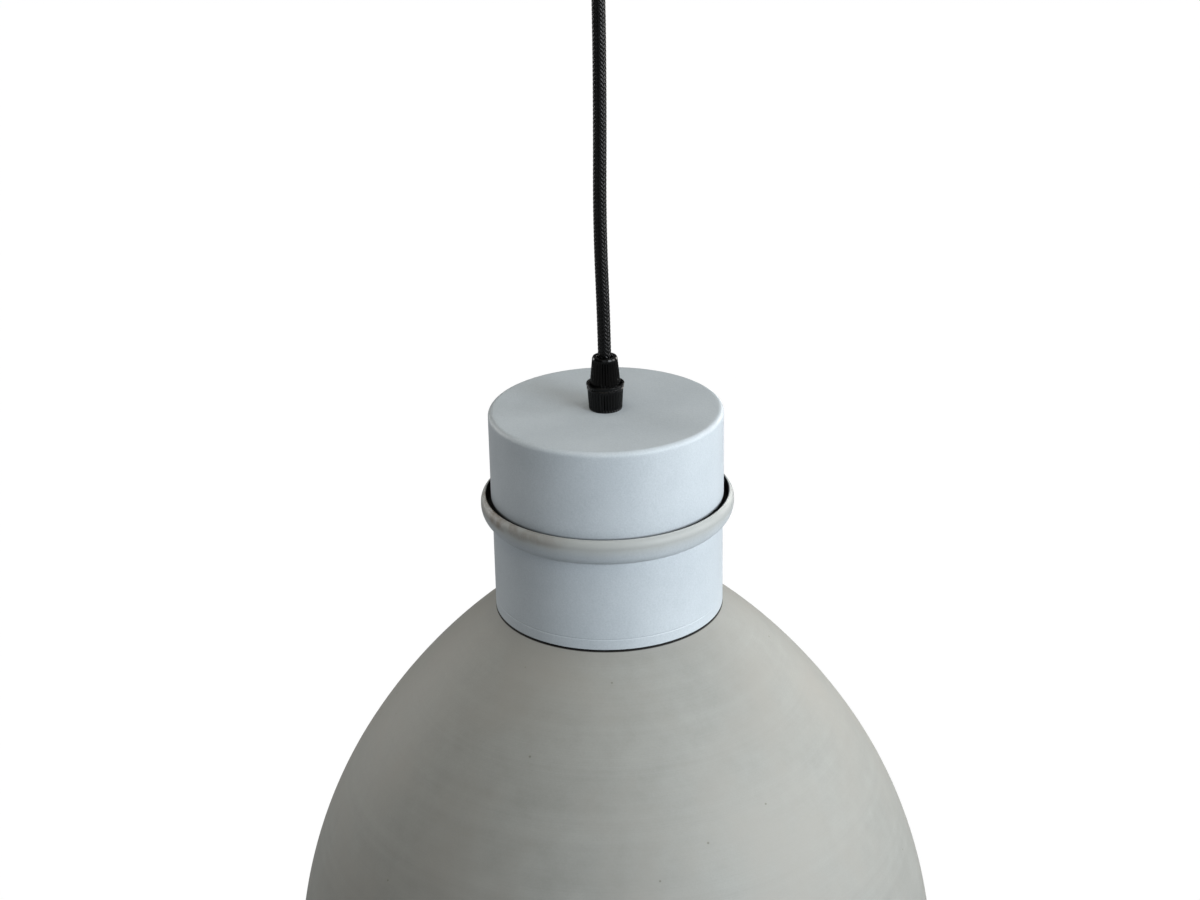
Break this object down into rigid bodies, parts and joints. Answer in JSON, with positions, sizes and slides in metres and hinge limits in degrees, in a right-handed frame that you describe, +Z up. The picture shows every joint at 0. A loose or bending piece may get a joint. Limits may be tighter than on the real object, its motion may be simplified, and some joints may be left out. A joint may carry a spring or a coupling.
{
  "type": "pendant ceiling light",
  "caption": "Pendant ceiling light: spun metal dome shade under a ringed cylindrical neck and cup, hung on a black braided cord from a ceiling cup.",
  "frame": {"origin": "centre of the ceiling bracket's top face, against the ceiling", "axes": "+Z up, towards the ceiling; the lamp hangs along -Z; X runs along the ceiling bracket, through its two screw slots"},
  "size_m": [0.3, 0.3, 0.5682],
  "materials": {
    "zinc_steel": "zinc plated",
    "blue_grey_paint": "fine powder coat, pale blue-grey",
    "spun_grey": "spun, warm grey, matte",
    "black_plastic": "moulded and ribbed",
    "nylon_jaws": "moulded nylon",
    "white_plastic": "moulded",
    "brown_core": "insulation",
    "blue_core": "insulation",
    "earth_core": "insulation, green with a yellow stripe",
    "black_braid": "braided textile sleeve",
    "black_metal": "black coating",
    "black_bakelite": "moulded, threaded",
    "insert_ceramic": "glazed",
    "brass": "pressed",
    "bulb_tin": "rolled thread",
    "bulb_insulator": "black glass",
    "bulb_glass": "clear",
    "light_rods": "coated light rods"
  },
  "bodies": {
    "ceiling": {"ceiling_bracket": "zinc_steel", "ceiling_cup": "blue_grey_paint", "ceiling_cup_screws": "zinc_steel", "terminal_block": "white_plastic", "terminal_screws": "zinc_steel", "block_screws": "zinc_steel", "bracket_earth_screw": "zinc_steel", "ceiling_grip_base": "black_plastic", "ceiling_grip_jaws": "nylon_jaws", "ceiling_tube": "zinc_steel", "ceiling_washer": "zinc_steel", "ceiling_locknut": "zinc_steel", "ceiling_core_live": "brown_core", "ceiling_core_neutral": "blue_core", "ceiling_core_earth": "earth_core", "ceiling_earth_link": "earth_core", "cord_tail": "black_braid"},
    "ceiling_nut": {"ceiling_grip_nut": "black_plastic"},
    "cord_twist_piece": {"cord_root": "black_braid"},
    "cord_bend_piece": {"cord_bend": "black_braid"},
    "lamp": {"cord": "black_braid", "lamp_grip_base": "black_plastic", "lamp_grip_jaws": "nylon_jaws", "lamp_tube": "zinc_steel", "lamp_washer": "zinc_steel", "lamp_locknut": "zinc_steel", "holder_locknut": "zinc_steel", "lamp_core_live": "brown_core", "lamp_core_neutral": "blue_core", "lamp_core_earth": "earth_core", "lamp_cup": "blue_grey_paint", "neck_ring": "blue_grey_paint", "neck": "blue_grey_paint", "shade": "spun_grey", "holder_cap": "black_metal", "holder_earth_screw": "zinc_steel", "holder_skirt": "black_bakelite", "holder_insert": "insert_ceramic", "contact_screws": "zinc_steel", "contact_shell": "brass", "centre_contact": "brass", "shade_ring_upper": "black_bakelite", "shade_ring_lower": "black_bakelite"},
    "lamp_nut": {"lamp_grip_nut": "black_plastic"},
    "bulb_travel": {"bulb_tip": "bulb_tin"},
    "bulb": {"bulb_insulator": "bulb_insulator", "bulb_cap": "bulb_tin", "bulb_glass": "bulb_glass", "bulb_stem": "bulb_glass", "bulb_light_rods": "light_rods"}
  },
  "joints": [
    {"name": "cord_twist", "type": "hinge", "parent": "ceiling", "child": "cord_twist_piece", "pos_m": [0, 0, -0.06985], "axis": [0, 0, 1], "range_deg": [-180, 180]},
    {"name": "swing_x", "type": "hinge", "parent": "cord_twist_piece", "child": "cord_bend_piece", "pos_m": [0, 0, -0.06985], "axis": [1, 0, 0], "range_deg": [-20, 20]},
    {"name": "swing_y", "type": "hinge", "parent": "cord_bend_piece", "child": "lamp", "pos_m": [0, 0, -0.06985], "axis": [0, 1, 0], "range_deg": [-20, 20]},
    {"name": "ceiling_nut_turn", "type": "hinge", "parent": "ceiling", "child": "ceiling_nut", "pos_m": [0, 0, -0.055], "axis": [0, 0, -1], "range_deg": [0, 360]},
    {"name": "lamp_nut_turn", "type": "hinge", "parent": "lamp", "child": "lamp_nut", "pos_m": [0, 0, -0.259], "axis": [0, 0, 1], "range_deg": [0, 360]},
    {"name": "bulb_drop", "type": "slide", "parent": "lamp", "child": "bulb_travel", "axis": [0, 0, -1], "range_m": [0, 0.02]},
    {"name": "bulb_turn", "type": "hinge", "parent": "bulb_travel", "child": "bulb", "pos_m": [0, 0, -0.4], "axis": [0, 0, -1], "range_deg": [0, 1980]}
  ],
  "couplings": [
    {"joint": "bulb_drop", "follows": "bulb_turn", "m_per_rad": 0.00057773}
  ]
}
